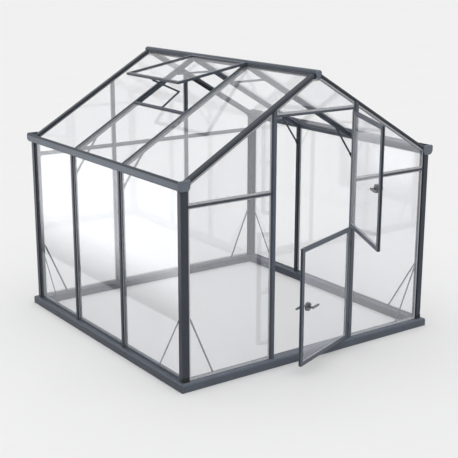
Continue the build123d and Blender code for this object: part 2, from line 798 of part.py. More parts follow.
def face_of_leaf(open_deg, x, y, z):
    """Upright plane of a leaf, looking out of the house."""
    return on_leaf(open_deg, (x, y, z), (1, 0, 0), (0, -1, 0))


edge_groove = (leaf_depth - leaf_edge_groove) / 2
glass_groove = leaf_glass_depth + glass + seal


def handle_height(z0, z1):
    """Height of the spindle in a leaf between two heights."""
    return (z0 + z1) / 2 - handle_drop


def leaf_stiles(open_deg, z0, z1):
    """Two upright bars with a groove for the pane and an open groove along the outer edge."""
    for side in (-1, 1):
        outer, inner = side * leaf_half, side * (leaf_half - leaf_bar)
        with BuildSketch(plan_of_leaf(open_deg, 0, front, z0)) as outline:
            patch(outer, inner, 0, leaf_depth)
            patch(outer, outer - side * leaf_groove, edge_groove, leaf_depth - edge_groove,
                  mode=Mode.SUBTRACT)
            patch(inner, inner + side * leaf_groove, leaf_glass_depth, glass_groove, mode=Mode.SUBTRACT)
        extrude(outline.sketch, amount=z1 - z0)


def leaf_rails(open_deg, z0, z1):
    """Top and bottom bars between the stiles, in the same section."""
    start = leaf_bar - leaf_half
    for outer, turn in ((z0, 1), (z1, -1)):
        inner = outer + turn * leaf_bar
        with BuildSketch(on_leaf(open_deg, (start, front, 0), (0, 1, 0), (1, 0, 0))) as outline:
            patch(0, leaf_depth, outer, inner)
            patch(edge_groove, leaf_depth - edge_groove, outer, outer + turn * leaf_groove,
                  mode=Mode.SUBTRACT)
            patch(leaf_glass_depth, glass_groove, inner, inner - turn * leaf_groove, mode=Mode.SUBTRACT)
        extrude(outline.sketch, amount=-2 * start)


def leaf_pane(open_deg, z0, z1):
    """Pane of a leaf, drilled for the spindle of the handle."""
    edge = leaf_bar - leaf_groove + glass_gap
    reach = leaf_half - edge
    with BuildSketch(face_of_leaf(open_deg, 0, front + leaf_glass_depth, 0)) as outline:
        patch(-reach, reach, z0 + edge, z1 - edge)
        with Locations((handle_x, handle_height(z0, z1))):
            Circle(spindle_radius + rose_hole_play, mode=Mode.SUBTRACT)
    extrude(outline.sketch, amount=-glass)


def leaf_hinges(open_deg, z0, z1):
    """Knuckles on the leaf, each turning on a pin of the door post."""
    for height in (z0 + hinge_from_end, z1 - hinge_from_end):
        with BuildSketch(plan_of_leaf(open_deg, hinge_x, hinge_y, height)) as outline:
            patch(-hinge_plate_reach, 0, hinge_forward - hinge_plate, hinge_forward)
            Circle(knuckle_radius)
            Circle(pin_radius + pin_play, mode=Mode.SUBTRACT)
        extrude(outline.sketch, amount=knuckle_height)


def leaf_roses(open_deg, z0, z1):
    """Round roses on both faces of the pane, bored for the spindle."""
    for depth in (0, leaf_glass_depth + glass):
        with BuildSketch(face_of_leaf(open_deg, handle_x, front + depth, handle_height(z0, z1))) as outline:
            Circle(rose_radius)
            Circle(spindle_radius + spindle_play, mode=Mode.SUBTRACT)
        extrude(outline.sketch, amount=-leaf_glass_depth)


def lever(plane, turn, reach):
    """Tapered arm of a handle, on its end of the spindle."""
    tip = reach - lever_tip_bevel
    tip_half = lever_tip_width / 2
    with BuildSketch(plane) as outline:
        Circle(lever_width / 2)
        Polygon((0, -lever_width / 2), (turn * tip, -tip_half), (turn * reach, lever_tip_bevel - tip_half),
                (turn * reach, tip_half - lever_tip_bevel), (turn * tip, tip_half), (0, lever_width / 2),
                align=None)
    extrude(outline.sketch, amount=lever_thick)


def leaf_handle(open_deg, z0, z1):
    """Spindle with a hub at each rose and an arm at each end."""
    height = handle_height(z0, z1)
    inner_face = front + 2 * leaf_glass_depth + glass
    with BuildSketch(face_of_leaf(open_deg, handle_x, front - lever_standoff, height)) as outline:
        Circle(spindle_radius)
    extrude(outline.sketch, amount=-(inner_face - front + 2 * lever_standoff))
    for hub_y in (front - hub_play, inner_face + hub_play + hub_length):
        with BuildSketch(face_of_leaf(open_deg, handle_x, hub_y, height)) as outline:
            Circle(hub_radius)
        extrude(outline.sketch, amount=hub_length)
    inner_end = inner_face + lever_standoff + lever_thick
    lever(face_of_leaf(open_deg, handle_x, front - lever_standoff, height), 1, outer_lever)
    lever(face_of_leaf(open_deg, handle_x, inner_end, height), -1, inner_lever)


lower = (lower_open_deg, leaf_bottom, lower_top)
upper = (upper_open_deg, upper_bottom, leaf_top)

with BuildPart() as door_hinge_brackets:
    for _, z0, z1 in (lower, upper):
        for height in (z0 + hinge_from_end, z1 - hinge_from_end):
            with BuildSketch(Plane((hinge_x, hinge_y, height - knuckle_height))):
                patch(0, hinge_plate_reach, hinge_forward - hinge_plate, hinge_forward)
                Circle(knuckle_radius)
            extrude(amount=knuckle_height - knuckle_play)
            with BuildSketch(Plane((hinge_x, hinge_y, height - knuckle_play))):
                Circle(pin_radius)
            extrude(amount=knuckle_height + knuckle_play)

with BuildPart() as lower_door_stiles:
    leaf_stiles(*lower)

with BuildPart() as lower_door_rails:
    leaf_rails(*lower)

with BuildPart() as lower_door_glass:
    leaf_pane(*lower)

with BuildPart() as lower_door_hinges:
    leaf_hinges(*lower)

with BuildPart() as lower_door_roses:
    leaf_roses(*lower)

with BuildPart() as lower_door_handle:
    leaf_handle(*lower)

with BuildPart() as upper_door_stiles:
    leaf_stiles(*upper)

with BuildPart() as upper_door_rails:
    leaf_rails(*upper)

with BuildPart() as upper_door_glass:
    leaf_pane(*upper)

with BuildPart() as upper_door_hinges:
    leaf_hinges(*upper)

with BuildPart() as upper_door_roses:
    leaf_roses(*upper)

with BuildPart() as upper_door_handle:
    leaf_handle(*upper)

os.makedirs("parts", exist_ok=True)

base_sill_front.part.label = "base_sill_front"
export_step(base_sill_front.part, "parts/base_sill_front.step")
base_sill_back.part.label = "base_sill_back"
export_step(base_sill_back.part, "parts/base_sill_back.step")
base_sill_left.part.label = "base_sill_left"
export_step(base_sill_left.part, "parts/base_sill_left.step")
base_sill_right.part.label = "base_sill_right"
export_step(base_sill_right.part, "parts/base_sill_right.step")
corner_post_front_left.part.label = "corner_post_front_left"
export_step(corner_post_front_left.part, "parts/corner_post_front_left.step")
corner_post_front_right.part.label = "corner_post_front_right"
export_step(corner_post_front_right.part, "parts/corner_post_front_right.step")
corner_post_back_left.part.label = "corner_post_back_left"
export_step(corner_post_back_left.part, "parts/corner_post_back_left.step")
corner_post_back_right.part.label = "corner_post_back_right"
export_step(corner_post_back_right.part, "parts/corner_post_back_right.step")
wall_bars.part.label = "wall_bars"
export_step(wall_bars.part, "parts/wall_bars.step")
back_gable_posts.part.label = "back_gable_posts"
export_step(back_gable_posts.part, "parts/back_gable_posts.step")
door_posts.part.label = "door_posts"
export_step(door_posts.part, "parts/door_posts.step")
door_header.part.label = "door_header"
export_step(door_header.part, "parts/door_header.step")
gable_rails.part.label = "gable_rails"
export_step(gable_rails.part, "parts/gable_rails.step")
left_gutter.part.label = "left_gutter"
export_step(left_gutter.part, "parts/left_gutter.step")
right_gutter.part.label = "right_gutter"
export_step(right_gutter.part, "parts/right_gutter.step")
ridge_bar.part.label = "ridge_bar"
export_step(ridge_bar.part, "parts/ridge_bar.step")
end_caps.part.label = "end_caps"
export_step(end_caps.part, "parts/end_caps.step")
verge_rafters.part.label = "verge_rafters"
export_step(verge_rafters.part, "parts/verge_rafters.step")
roof_bars.part.label = "roof_bars"
export_step(roof_bars.part, "parts/roof_bars.step")
vent_sill.part.label = "vent_sill"
export_step(vent_sill.part, "parts/vent_sill.step")
vent_frame.part.label = "vent_frame"
export_step(vent_frame.part, "parts/vent_frame.step")
vent_glass.part.label = "vent_glass"
export_step(vent_glass.part, "parts/vent_glass.step")
vent_stay.part.label = "vent_stay"
export_step(vent_stay.part, "parts/vent_stay.step")
collar_ties.part.label = "collar_ties"
export_step(collar_ties.part, "parts/collar_ties.step")
knee_braces.part.label = "knee_braces"
export_step(knee_braces.part, "parts/knee_braces.step")
corner_braces.part.label = "corner_braces"
export_step(corner_braces.part, "parts/corner_braces.step")
left_wall_glass.part.label = "left_wall_glass"
export_step(left_wall_glass.part, "parts/left_wall_glass.step")
right_wall_glass.part.label = "right_wall_glass"
export_step(right_wall_glass.part, "parts/right_wall_glass.step")
front_gable_glass.part.label = "front_gable_glass"
export_step(front_gable_glass.part, "parts/front_gable_glass.step")
back_gable_glass.part.label = "back_gable_glass"
export_step(back_gable_glass.part, "parts/back_gable_glass.step")
left_roof_glass.part.label = "left_roof_glass"
export_step(left_roof_glass.part, "parts/left_roof_glass.step")
right_roof_glass.part.label = "right_roof_glass"
export_step(right_roof_glass.part, "parts/right_roof_glass.step")
door_hinge_brackets.part.label = "door_hinge_brackets"
export_step(door_hinge_brackets.part, "parts/door_hinge_brackets.step")
lower_door_stiles.part.label = "lower_door_stiles"
export_step(lower_door_stiles.part, "parts/lower_door_stiles.step")
lower_door_rails.part.label = "lower_door_rails"
export_step(lower_door_rails.part, "parts/lower_door_rails.step")
lower_door_glass.part.label = "lower_door_glass"
export_step(lower_door_glass.part, "parts/lower_door_glass.step")
lower_door_hinges.part.label = "lower_door_hinges"
export_step(lower_door_hinges.part, "parts/lower_door_hinges.step")
lower_door_roses.part.label = "lower_door_roses"
export_step(lower_door_roses.part, "parts/lower_door_roses.step")
lower_door_handle.part.label = "lower_door_handle"
export_step(lower_door_handle.part, "parts/lower_door_handle.step")
upper_door_stiles.part.label = "upper_door_stiles"
export_step(upper_door_stiles.part, "parts/upper_door_stiles.step")
upper_door_rails.part.label = "upper_door_rails"
export_step(upper_door_rails.part, "parts/upper_door_rails.step")
upper_door_glass.part.label = "upper_door_glass"
export_step(upper_door_glass.part, "parts/upper_door_glass.step")
upper_door_hinges.part.label = "upper_door_hinges"
export_step(upper_door_hinges.part, "parts/upper_door_hinges.step")
upper_door_roses.part.label = "upper_door_roses"
export_step(upper_door_roses.part, "parts/upper_door_roses.step")
upper_door_handle.part.label = "upper_door_handle"
export_step(upper_door_handle.part, "parts/upper_door_handle.step")
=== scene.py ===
"""Looks of the glass greenhouse: coatings, glass, seals, small fittings, studio and camera. Metres."""
from math import cos, pi, radians, sin

import bmesh
import bpy
from mathutils import Matrix, Vector


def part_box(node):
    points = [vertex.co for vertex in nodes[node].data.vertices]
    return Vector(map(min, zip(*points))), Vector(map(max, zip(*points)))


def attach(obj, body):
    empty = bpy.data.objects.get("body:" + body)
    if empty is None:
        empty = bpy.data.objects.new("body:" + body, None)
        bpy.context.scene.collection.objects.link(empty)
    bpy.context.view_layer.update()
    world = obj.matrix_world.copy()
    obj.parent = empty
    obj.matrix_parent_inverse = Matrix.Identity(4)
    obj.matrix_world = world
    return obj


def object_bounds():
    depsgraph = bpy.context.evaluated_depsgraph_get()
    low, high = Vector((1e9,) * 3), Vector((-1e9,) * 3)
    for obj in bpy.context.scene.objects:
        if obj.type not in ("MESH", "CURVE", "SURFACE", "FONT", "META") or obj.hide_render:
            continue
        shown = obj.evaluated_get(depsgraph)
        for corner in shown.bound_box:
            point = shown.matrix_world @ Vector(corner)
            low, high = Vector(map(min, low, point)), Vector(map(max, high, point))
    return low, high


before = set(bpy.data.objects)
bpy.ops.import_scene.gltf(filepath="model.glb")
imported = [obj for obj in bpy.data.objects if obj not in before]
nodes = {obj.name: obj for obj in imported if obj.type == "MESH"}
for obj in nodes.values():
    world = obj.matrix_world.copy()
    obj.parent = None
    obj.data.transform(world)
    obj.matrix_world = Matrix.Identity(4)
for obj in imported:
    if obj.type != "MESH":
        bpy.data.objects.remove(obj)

cad_box = [list(corner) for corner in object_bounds()]
scene = bpy.context.scene
house_middle = Vector((0, (cad_box[0][1] + cad_box[1][1]) / 2, 0.9))
MM = 0.001
WELD = 1e-6                     # points nearer than this are one point

# Seals on the panes: distance from the pane's edge, thickness and widths
SEAL_EDGE, SEAL_THICK = 2 * MM, 0.9 * MM
WALL_SEAL, GABLE_SEAL, ROOF_SEAL = 11 * MM, 13 * MM, 6 * MM
BEAD_EDGE, BEAD_WIDTH, BEAD_THICK = 8.2 * MM, 2.4 * MM, 2.2 * MM
SEAL_ROUND, SEAL_CREST = 0.6, 0.3   # shares of the thickness that the inner edge is rounded by

# Bolts and clips of the braces, screws of the hinges
BOLT_RADIUS, BOLT_HEIGHT, BOLT_SIDES, BOLT_FROM_END = 5 * MM, 4 * MM, 6, 9 * MM
SCREW_RADIUS, SCREW_HEIGHT, SCREW_SIDES, SCREW_RISE = 3.2 * MM, 1.1 * MM, 14, 8 * MM
CLIP_LENGTH, CLIP_WIDTH, CLIP_HEIGHT, CLIP_SINK = 52 * MM, 20 * MM, 2.6 * MM, MM
BAR_END = 4 * MM                # corners of a flat bar's end are further apart than this

# Black bands round the lower ends of the front posts
FOOT_HEIGHT, FOOT_THICK, FOOT_BACK, FOOT_STEPS = 34 * MM, 1.2 * MM, 6 * MM, 8
POST_ROUND, POST_FACE = 16 * MM, 50 * MM

# Door leaves when shut: hinge line, half width, middle plane, then opening angle and heights of each
HINGE = Vector((0.349, -0.027, 0))
LEAF_HALF, LEAF_MIDDLE = 0.346, -0.009
LEAVES = (("lower_door", 20.5, 0.066, 0.917), ("upper_door", 63.7, 0.933, 1.7742))
GROOVE, STRIP_WIDTH, STRIP_HEIGHT = 9.5 * MM, 6.8 * MM, 6.2 * MM
STRIP_SHORT, STRIP_PAST = 12 * MM, 4 * MM

# Painted shade along the upper edge of the left gutter, where its open channel lies in shadow
PAINTED_SHADE_DEPTH, PAINTED_SHADE_BLEND, PAINTED_SHADE_FACTOR = 14 * MM, 3 * MM, 0.40

# Studio
SKY_LEVEL, SKY_LEFT, SKY_TOP = 0.24, -0.05, 1.40
BACKDROP = 0.87
KEY_ENERGY, KEY_ANGLE, KEY_FROM = 0.3, 60, (-0.05, 0.05, 1.0)
FLOOR_SIZE, FLOOR_CELLS, FLOOR_DROP = 120.0, 8, 0.5 * MM
PAPER_LOW, PAPER_HIGH = (0.850, 0.850, 0.850), (0.860, 0.860, 0.860)
PAPER_PAINTED_LIGHT_BEHIND_GLASS, PAPER_AS_LIGHT = (0.905, 0.905, 0.910), (0.42, 0.42, 0.43)
CARD_X, CARD_FRONT, CARD_BACK, CARD_TOP, CARD_GLOW = -1.78, 0.4, 4.2, 1.7, 2.15
SENSOR, LENS, CLIP_END = 36.0, 80.513, 400.0
CAMERA_AT = (-4.5590, -5.3621, 2.8329)
CAMERA_TURN = (74.9934, -0.1038, -35.4837)


# Materials
def math_node(tree, operation, first, second):
    """One step of arithmetic on two sockets or numbers."""
    node = tree.nodes.new("ShaderNodeMath")
    node.operation = operation
    for socket, value in zip(node.inputs, (first, second)):
        if isinstance(value, (int, float)):
            socket.default_value = value
        else:
            tree.links.new(value, socket)
    return node.outputs["Value"]


def mix_node(tree, factor, first, second):
    """A mix of two colours, each a socket or three numbers."""
    node = tree.nodes.new("ShaderNodeMix")
    node.data_type = "RGBA"
    tree.links.new(factor, node.inputs["Factor"])
    for socket, value in ((node.inputs[6], first), (node.inputs[7], second)):
        if isinstance(value, tuple):
            socket.default_value = (*value, 1)
        else:
            tree.links.new(value, socket)
    return node.outputs[2]


class Shader:
    """A principled material with a few helpers for procedural detail."""

    def __init__(self, name):
        self.material = bpy.data.materials.new(name)
        self.material.use_nodes = True
        self.tree = self.material.node_tree
        self.bsdf = self.tree.nodes["Principled BSDF"]
        self.place = self.tree.nodes.new("ShaderNodeNewGeometry").outputs["Position"]

    def set(self, **values):
        """Constant values on the shader's own sockets."""
        for key, value in values.items():
            self.bsdf.inputs[key.replace("_", " ")].default_value = value

    def link(self, source, socket):
        self.tree.links.new(source, self.bsdf.inputs[socket])

    def axis(self, letter):
        """One coordinate of the place on the surface."""
        node = self.tree.nodes.new("ShaderNodeSeparateXYZ")
        self.tree.links.new(self.place, node.inputs["Vector"])
        return node.outputs[letter]

    def noise(self, scale, detail=4.0, roughness=0.55, stretch=(1, 1, 1)):
        mapping = self.tree.nodes.new("ShaderNodeMapping")
        mapping.inputs["Scale"].default_value = stretch
        self.tree.links.new(self.place, mapping.inputs["Vector"])
        node = self.tree.nodes.new("ShaderNodeTexNoise")
        node.inputs["Scale"].default_value = scale
        node.inputs["Detail"].default_value = detail
        node.inputs["Roughness"].default_value = roughness
        self.tree.links.new(mapping.outputs["Vector"], node.inputs["Vector"])
        return node.outputs["Fac"]

    def ramp(self, source, stops):
        """Colours along a value."""
        node = self.tree.nodes.new("ShaderNodeValToRGB")
        for element, (at, colour) in zip(node.color_ramp.elements, stops):
            element.position = at
            element.color = (*colour, 1)
        self.tree.links.new(source, node.inputs["Fac"])
        return node.outputs["Color"]

    def span(self, source, low, high, start=0.3, end=0.7):
        """Numbers from low to high, where the source goes from start to end."""
        node = self.tree.nodes.new("ShaderNodeMapRange")
        for key, value in (("From Min", start), ("From Max", end), ("To Min", low), ("To Max", high)):
            node.inputs[key].default_value = value
        self.tree.links.new(source, node.inputs["Value"])
        return node.outputs["Result"]

    def bump(self, source, strength, distance):
        node = self.tree.nodes.new("ShaderNodeBump")
        node.inputs["Strength"].default_value = strength
        node.inputs["Distance"].default_value = distance
        self.tree.links.new(source, node.inputs["Height"])
        self.tree.links.new(node.outputs["Normal"], self.bsdf.inputs["Normal"])


def coating(name, dark, light, rough, painted_shade_from=None):
    """Powder coating: fine orange peel, slight cloudiness and a little dust; painted shade above a given
    height.
    """
    shader = Shader(name)
    colour = shader.ramp(shader.noise(9.0, 5.0), [(0.3, dark), (0.7, light)])
    # Painted shade: the colour turns darker above the given height
    if painted_shade_from:
        above = shader.span(shader.axis("Z"), 0.0, 1.0, painted_shade_from - PAINTED_SHADE_BLEND, painted_shade_from)
        colour = mix_node(shader.tree, above, colour, tuple(c * PAINTED_SHADE_FACTOR for c in dark))
    shader.link(colour, "Base Color")
    shader.link(shader.span(shader.noise(46.0), rough - 0.05, rough + 0.07), "Roughness")
    shader.bump(shader.noise(1400.0, 2.0), 0.12, 0.0004)
    shader.set(Specular_IOR_Level=0.3)
    return shader.material


def clear_glass(name, tint, veil):
    """Pane as a thin half-mirror veil: mostly clear, with faint wiping marks."""
    shader = Shader(name)
    marks = shader.noise(2.6, 3.0, stretch=(1, 1, 0.4))
    pale = tuple(min(1.0, c * 1.04) for c in tint)
    shader.link(shader.ramp(marks, [(0.35, tint), (0.65, pale)]), "Base Color")
    shader.link(shader.span(shader.noise(6.0), 0.03, 0.06), "Roughness")
    shader.set(Alpha=veil, IOR=1.5, Metallic=0.6)
    return shader.material


def rubber(name, dark, light):
    """Seal strips: matt rubber with a fine grain."""
    shader = Shader(name)
    shader.link(shader.ramp(shader.noise(60.0), [(0.3, dark), (0.7, light)]), "Base Color")
    shader.link(shader.span(shader.noise(180.0), 0.62, 0.8), "Roughness")
    shader.bump(shader.noise(2200.0, 2.0), 0.2, 0.0003)
    return shader.material


def steel(name, dark, light, rough):
    """Brushed metal with fine streaks."""
    shader = Shader(name)
    streaks = shader.noise(260.0, 3.0, stretch=(1, 1, 0.06))
    shader.link(shader.ramp(streaks, [(0.3, dark), (0.7, light)]), "Base Color")
    shader.link(shader.span(streaks, rough - 0.05, rough + 0.1), "Roughness")
    shader.bump(streaks, 0.08, 0.0002)
    shader.set(Metallic=1.0)
    return shader.material


# Height from which the left gutter's top band gets painted shade
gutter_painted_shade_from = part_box("left_gutter")[1][2] - PAINTED_SHADE_DEPTH
coat = coating("anthracite_coat", (0.080, 0.095, 0.121), (0.092, 0.108, 0.137), 0.36)
# Darker copy of the same coat for the posts and wall bars: painted shade
coat_post_painted_shade = coating("post_coat_painted_shade", (0.053, 0.063, 0.082), (0.062, 0.074, 0.095), 0.34)
# Darker copy of the same coat for the verges: painted shade against the light from above
coat_verge_painted_shade = coating("verge_coat_painted_shade", (0.042, 0.050, 0.065), (0.050, 0.059, 0.076), 0.40)
# Lighter copy of the same coat for the door parts and the front sill: painted light
coat_door_sill_painted_light = coating("door_coat_painted_light", (0.128, 0.148, 0.182), (0.144, 0.166, 0.204), 0.40)
# Lighter copy of the same coat for the left gutter: painted light, with painted shade on its top band
coat_gutter_painted_light_and_shade = coating("gutter_coat_painted_light_and_shade", (0.164, 0.196, 0.240), (0.184, 0.219, 0.267), 0.45, gutter_painted_shade_from)
caps = coating("cap_plastic_grain", (0.205, 0.231, 0.270), (0.225, 0.254, 0.296), 0.55)
pane = clear_glass("clear_pane", (0.92, 0.935, 0.985), 0.17)
leaf_pane = clear_glass("clear_leaf_pane", (0.90, 0.915, 0.965), 0.20)
roof_pane = clear_glass("clear_roof_pane", (0.94, 0.955, 0.99), 0.21)
black_rubber = rubber("black_rubber", (0.012, 0.013, 0.015), (0.022, 0.023, 0.026))
pale_rubber = rubber("pale_rubber", (0.80, 0.81, 0.83), (0.88, 0.89, 0.91))
handle_metal = steel("handle_steel", (0.17, 0.17, 0.175), (0.27, 0.27, 0.275), 0.34)
screw_metal = steel("screw_steel", (0.30, 0.31, 0.32), (0.42, 0.43, 0.44), 0.4)

# The first row whose start and end fit a node's name gives its material
LOOKS = (
    ("", "roof_glass", roof_pane),
    ("", "door_glass", leaf_pane),
    ("", "glass", pane),
    ("corner_post", "", coat_post_painted_shade),
    ("wall_bars", "", coat_post_painted_shade),
    ("verge_rafters", "", coat_verge_painted_shade),
    ("base_sill_front", "", coat_door_sill_painted_light),
    ("left_gutter", "", coat_gutter_painted_light_and_shade),
    ("end_caps", "", caps),
    ("", ("handle", "roses"), handle_metal),
    (("door_", "lower_door", "upper_door"), "", coat_door_sill_painted_light),
    ("", "", coat),
)
for name, node in nodes.items():
    look = next(material for start, end, material in LOOKS if name.startswith(start) and name.endswith(end))
    for slot in node.material_slots:
        slot.material = look
    node.visible_shadow = not name.endswith("glass")


# Small pieces
def add_piece(name, mesh, materials, body):
    """A mesh piece that moves with a body."""
    data = bpy.data.meshes.new(name)
    mesh.to_mesh(data)
    mesh.free()
    for material in materials:
        data.materials.append(material)
    piece = bpy.data.objects.new(name, data)
    scene.collection.objects.link(piece)
    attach(piece, body)


def middle_of(points):
    return sum(points, Vector()) / len(points)


def islands(node):
    """For each solid of a node, the directions its faces look in, with area and points, largest first."""
    mesh = bmesh.new()
    mesh.from_mesh(node.data)
    bmesh.ops.remove_doubles(mesh, verts=mesh.verts, dist=WELD)
    left = dict.fromkeys(mesh.verts)
    found = []
    while left:
        group, todo = [], [left.popitem()[0]]
        while todo:
            vert = todo.pop()
            group.append(vert)
            for edge in vert.link_edges:
                other = edge.other_vert(vert)
                if other in left:
                    del left[other]
                    todo.append(other)
        sides = {}
        for face in dict.fromkeys(f for v in group for f in v.link_faces):
            key = tuple(round(c, 3) for c in face.normal)
            total, points = sides.get(key, (0.0, []))
            sides[key] = (total + face.calc_area(), points + [v.co.copy() for v in face.verts])
        found.append(sorted(((Vector(n), a, p) for n, (a, p) in sides.items()), key=lambda s: -s[1]))
    mesh.free()
    return found


def outline(points, normal):
    """Convex outline of points on a plane, in order round the normal."""
    normal = normal.normalized()
    base = middle_of(points)
    across = (points[0] - base).normalized()
    up = normal.cross(across)
    flat = sorted({(round((p - base).dot(across), 6), round((p - base).dot(up), 6)) for p in points})

    def half_hull(run):
        hull = []
        for p in run:
            while len(hull) > 1 and ((hull[-1][0] - hull[-2][0]) * (p[1] - hull[-2][1])
                                     - (hull[-1][1] - hull[-2][1]) * (p[0] - hull[-2][0])) <= 1e-9:
                hull.pop()
            hull.append(p)
        return hull[:-1]

    ring = half_hull(flat) + half_hull(flat[::-1])
    return [base + across * x + up * y for x, y in ring]


def inset(ring, normal, amount):
    """The same outline, moved in by an amount on every side."""
    count = len(ring)
    moved = []
    for i in range(count):
        before, here, after = ring[i - 1], ring[i], ring[(i + 1) % count]
        n1 = normal.cross(here - before).normalized()
        n2 = normal.cross(after - here).normalized()
        moved.append(here + (n1 + n2) * (amount / (1 + n1.dot(n2))))
    return moved


def skin(mesh, first, second):
    """Faces between two loops of points; returns them in order."""
    count = len(first)
    return [mesh.faces.new((first[i], first[(i + 1) % count], second[(i + 1) % count], second[i]))
            for i in range(count)]


def seal_ring(mesh, ring, normal, edge, width, thick, dark_foot):
    """A flat seal with a rounded inner edge, lying on a pane; its foot can be dark."""
    inner, round_off = edge + width, thick * SEAL_ROUND
    crest = round_off * SEAL_CREST
    profile = [(edge, 0), (edge, thick), (inner - round_off, thick), (inner - crest, thick - crest),
               (inner, thick - round_off), (inner, 0)]
    loops = [[mesh.verts.new(p + normal * rise) for p in inset(ring, normal, depth)] for depth, rise in profile]
    foot = min(p.z for p in ring) + 2 * MM
    for k, first in enumerate(loops):
        for i, face in enumerate(skin(mesh, first, loops[(k + 1) % len(loops)])):
            low = max(ring[i].z, ring[(i + 1) % len(ring)].z) < foot
            face.material_index = int(dark_foot and low)


def seals_on(name, body, both, edge, width, thick):
    """Seals on the outer face of each pane of a node, or on both faces."""
    mesh = bmesh.new()
    for solid in islands(nodes[name]):
        for normal, _, points in solid[:2]:
            if both or normal.dot(middle_of(points) - house_middle) > 0:
                seal_ring(mesh, outline(points, normal), normal, edge, width, thick, "wall" in name)
    bmesh.ops.recalc_face_normals(mesh, faces=mesh.faces)
    add_piece(name + "_seals", mesh, [pale_rubber, coat], body)


def stud(mesh, at, normal, radius, height, sides):
    """Domed head of a bolt or screw standing on a face."""
    normal = normal.normalized()
    across = normal.orthogonal().normalized()
    up = normal.cross(across)
    turns = [2 * pi * i / sides for i in range(sides)]
    spokes = [across * cos(t) + up * sin(t) for t in turns]
    loops = [[mesh.verts.new(at + normal * (rise * height) + spoke * (radius * share)) for spoke in spokes]
             for share, rise in ((1, 0), (1, 0.55), (0.8, 0.85), (0.4, 1))]
    for first, second in zip(loops, loops[1:]):
        skin(mesh, first, second)
    mesh.faces.new(loops[-1])
    mesh.faces.new(loops[0][::-1])


def strip(mesh, start, end, up, width, height):
    """Straight strip with a rounded crest, its foot on the line from start to end."""
    side = (end - start).cross(up).normalized()
    section = ((-0.5, 0), (0.5, 0), (0.5, 0.72), (0.25, 1), (-0.25, 1), (-0.5, 0.72))
    first, second = [[mesh.verts.new(p + side * (x * width) + up * (y * height)) for x, y in section]
                     for p in (start, end)]
    skin(mesh, first, second)
    mesh.faces.new(first[::-1])
    mesh.faces.new(second)


def run_of(points):
    """Middle, long direction and length of a flat bar's face."""
    middle = middle_of(points)
    far = max(points, key=lambda p: (p - middle).length)
    other = max(points, key=lambda p: (p - far).length)
    near = min((p for p in points if (p - far).length > BAR_END), key=lambda p: (p - far).length)
    start, end = (far + near) / 2, other - (near - far) / 2
    return (start + end) / 2, (end - start).normalized(), (end - start).length


# Seals
for side in ("left", "right"):
    seals_on(side + "_wall_glass", "frame", False, SEAL_EDGE, WALL_SEAL, SEAL_THICK)
for end in ("front", "back"):
    seals_on(end + "_gable_glass", "frame", False, SEAL_EDGE, GABLE_SEAL, SEAL_THICK)
for side in ("left", "right"):
    seals_on(side + "_roof_glass", "frame", False, SEAL_EDGE, ROOF_SEAL, SEAL_THICK)
for leaf, *_ in LEAVES:
    seals_on(leaf + "_glass", leaf, True, BEAD_EDGE, BEAD_WIDTH, BEAD_THICK)

# Bolts at the ends of the braces and ties, clips round the lower ends of the knee braces
bolts = bmesh.new()
clips = bmesh.new()
for name in ("knee_braces", "collar_ties", "corner_braces"):
    for solid in islands(nodes[name]):
        for normal, _, points in solid[:2]:
            middle, along, size = run_of(points)
            if normal.dot(house_middle - middle) > 0:
                for end in (-1, 1):
                    at = middle + along * (end * (size / 2 - BOLT_FROM_END))
                    stud(bolts, at, normal, BOLT_RADIUS, BOLT_HEIGHT, BOLT_SIDES)
            if name == "knee_braces":
                down = along if along.z < 0 else -along
                foot = middle + down * (size / 2) - normal * CLIP_SINK
                strip(clips, foot, foot - down * CLIP_LENGTH, normal, CLIP_WIDTH, CLIP_HEIGHT)
add_piece("brace_bolts", bolts, [screw_metal], "frame")
bmesh.ops.recalc_face_normals(clips, faces=clips.faces)
add_piece("knee_clips", clips, [black_rubber], "frame")

# Black bands round the lower ends of the outer faces of the front posts: a line round the corner, raised with a
# bevelled top
feet = bmesh.new()
corner = [pi / 2 * step / FOOT_STEPS for step in range(FOOT_STEPS + 1)]
line = [(0.0, POST_ROUND + FOOT_BACK)]
line += [(POST_ROUND * (1 - cos(t)), POST_ROUND * (1 - sin(t))) for t in corner]
line += [(POST_FACE, 0.0)]
for node, side in (("corner_post_front_left", -1), ("corner_post_front_right", 1)):
    low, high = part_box(node)
    edge = low[0] if side < 0 else high[0]
    rows = []
    for share, out in ((0.0, 0.0), (0.0, 1.0), (0.93, 1.0), (1.0, 0.4), (1.0, -0.5)):
        row = []
        for k, (x, y) in enumerate(line):
            ax, ay = line[max(k - 1, 0)]
            bx, by = line[min(k + 1, len(line) - 1)]
            run = Vector((bx - ax, by - ay, 0)).normalized() * (FOOT_THICK * out)
            row.append(feet.verts.new((edge - side * (x + run.y), low[1] + y - run.x,
                                       low[2] + share * FOOT_HEIGHT)))
        rows.append(row)
    for first, second in zip(rows, rows[1:] + rows[:1]):
        for i in range(len(line) - 1):
            feet.faces.new((first[i], first[i + 1], second[i + 1], second[i]))
    for i in (0, -1):
        feet.faces.new([row[i] for row in rows])
bmesh.ops.recalc_face_normals(feet, faces=feet.faces)
add_piece("post_feet", feet, [black_rubber], "frame")

